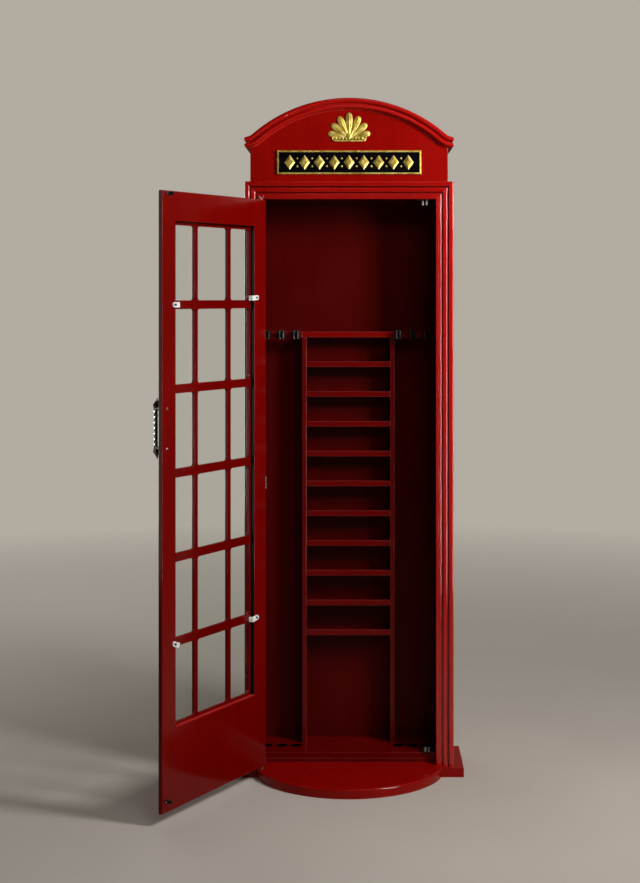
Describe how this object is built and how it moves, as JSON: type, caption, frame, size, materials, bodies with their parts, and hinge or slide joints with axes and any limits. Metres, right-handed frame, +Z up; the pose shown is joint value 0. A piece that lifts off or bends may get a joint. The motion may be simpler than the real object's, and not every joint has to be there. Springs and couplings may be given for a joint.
{
  "type": "telephone booth",
  "caption": "Telephone booth cabinet with an arched moulded top and a hinged glazed door; inside, a rack of ball shelves, floor holes and spring clips for cues, and roller catches.",
  "frame": {"origin": "on the floor, on the centre line, in the plane of the face frame's outermost strip", "axes": "+X to the right, +Y to the back, +Z up; the door faces -Y"},
  "size_m": [0.8855, 0.6772, 2.054],
  "materials": {
    "red_lacquer": "satin-gloss red lacquer on board",
    "red_lacquer_door": "satin-gloss red lacquer on board",
    "black_enamel": "gloss black enamel",
    "gold_paint": "gold-painted cast ornament",
    "black_seal": "glossy black sealant",
    "black_plastic": "black moulding",
    "white_plastic": "white moulding",
    "black_screws": "blacked steel",
    "nickel": "nickel plate",
    "bright_steel": "zinc-plated steel",
    "spring_steel": "drawn wire",
    "black_iron": "black-waxed wrought iron",
    "clear_glass": "clear sheet",
    "roller_plastic": "moulded nylon"
  },
  "bodies": {
    "cabinet": {"plinth_board": "red_lacquer", "half_round_step": "red_lacquer", "side_panel_left": "red_lacquer", "side_panel_right": "red_lacquer", "back_panel": "red_lacquer", "ceiling_panel": "red_lacquer", "interior_floor": "red_lacquer", "floor_bearers": "red_lacquer", "frame_stile_left": "red_lacquer", "frame_stile_right": "red_lacquer", "frame_top_rail": "red_lacquer", "header_panel": "red_lacquer", "roof_panel": "red_lacquer", "cornice_front": "red_lacquer", "cornice_returns": "red_lacquer", "rack_side_left": "red_lacquer", "rack_side_right": "red_lacquer", "rack_top_board": "red_lacquer", "ball_shelves": "red_lacquer", "shelf_lips": "red_lacquer", "clip_rails": "red_lacquer", "top_pivot_bracket": "red_lacquer", "bottom_pivot_plate": "red_lacquer", "cue_clips": "black_plastic", "catch_housings": "black_plastic", "sign_plate": "black_enamel", "sign_border": "gold_paint", "sign_relief": "gold_paint", "crest_ornament": "gold_paint", "hinge_frame_leaf": "nickel", "cue_clip_screws": "black_screws", "pivot_pins": "bright_steel", "hinge_pin": "bright_steel", "frame_hinge_screws": "bright_steel", "catch_screws": "bright_steel", "catch_springs": "spring_steel"},
    "door": {"door_frame": "red_lacquer_door", "muntin_grid": "red_lacquer_door", "glass_sheet": "clear_glass", "glass_seal": "black_seal", "glass_clips": "white_plastic", "glass_clip_screws": "black_screws", "pull_handle": "black_iron", "handle_screws": "bright_steel", "strikes": "black_plastic", "strike_screws": "bright_steel", "door_pivot_lugs": "nickel", "hinge_door_leaf": "nickel", "door_hinge_screws": "bright_steel"},
    "top_jaw_left": {"top_jaw_left": "bright_steel"},
    "top_roller_left": {"top_roller_left": "roller_plastic"},
    "top_jaw_right": {"top_jaw_right": "bright_steel"},
    "top_roller_right": {"top_roller_right": "roller_plastic"},
    "bottom_jaw_left": {"bottom_jaw_left": "bright_steel"},
    "bottom_roller_left": {"bottom_roller_left": "roller_plastic"},
    "bottom_jaw_right": {"bottom_jaw_right": "bright_steel"},
    "bottom_roller_right": {"bottom_roller_right": "roller_plastic"}
  },
  "joints": [
    {"name": "door_hinge", "type": "hinge", "parent": "cabinet", "child": "door", "pos_m": [-0.2655, 0.004, 0.8895], "axis": [0, 0, 1], "range_deg": [-15, 119.6]},
    {"name": "top_jaw_left_slide", "type": "slide", "parent": "cabinet", "child": "top_jaw_left", "axis": [-1, 0, 0], "range_m": [0, 0.001], "stiffness_N_per_m": 3000},
    {"name": "top_jaw_right_slide", "type": "slide", "parent": "cabinet", "child": "top_jaw_right", "axis": [1, 0, 0], "range_m": [0, 0.001], "stiffness_N_per_m": 3000},
    {"name": "bottom_jaw_left_slide", "type": "slide", "parent": "cabinet", "child": "bottom_jaw_left", "axis": [-1, 0, 0], "range_m": [0, 0.001], "stiffness_N_per_m": 3000},
    {"name": "bottom_jaw_right_slide", "type": "slide", "parent": "cabinet", "child": "bottom_jaw_right", "axis": [1, 0, 0], "range_m": [0, 0.001], "stiffness_N_per_m": 3000},
    {"name": "top_roller_left_spin", "type": "hinge", "parent": "top_jaw_left", "child": "top_roller_left", "pos_m": [0.2243, 0.0365, 1.7377], "axis": [0, 0, 1], "continuous": true},
    {"name": "top_roller_right_spin", "type": "hinge", "parent": "top_jaw_right", "child": "top_roller_right", "pos_m": [0.2357, 0.0365, 1.7377], "axis": [0, 0, 1], "continuous": true},
    {"name": "bottom_roller_left_spin", "type": "hinge", "parent": "bottom_jaw_left", "child": "bottom_roller_left", "pos_m": [0.2317, 0.0365, 0.0693], "axis": [0, 0, 1], "continuous": true},
    {"name": "bottom_roller_right_spin", "type": "hinge", "parent": "bottom_jaw_right", "child": "bottom_roller_right", "pos_m": [0.2431, 0.0365, 0.0693], "axis": [0, 0, 1], "continuous": true}
  ],
  "couplings": [
    {"joint": "top_jaw_right_slide", "follows": "top_jaw_left_slide", "ratio": 1},
    {"joint": "bottom_jaw_right_slide", "follows": "bottom_jaw_left_slide", "ratio": 1}
  ]
}
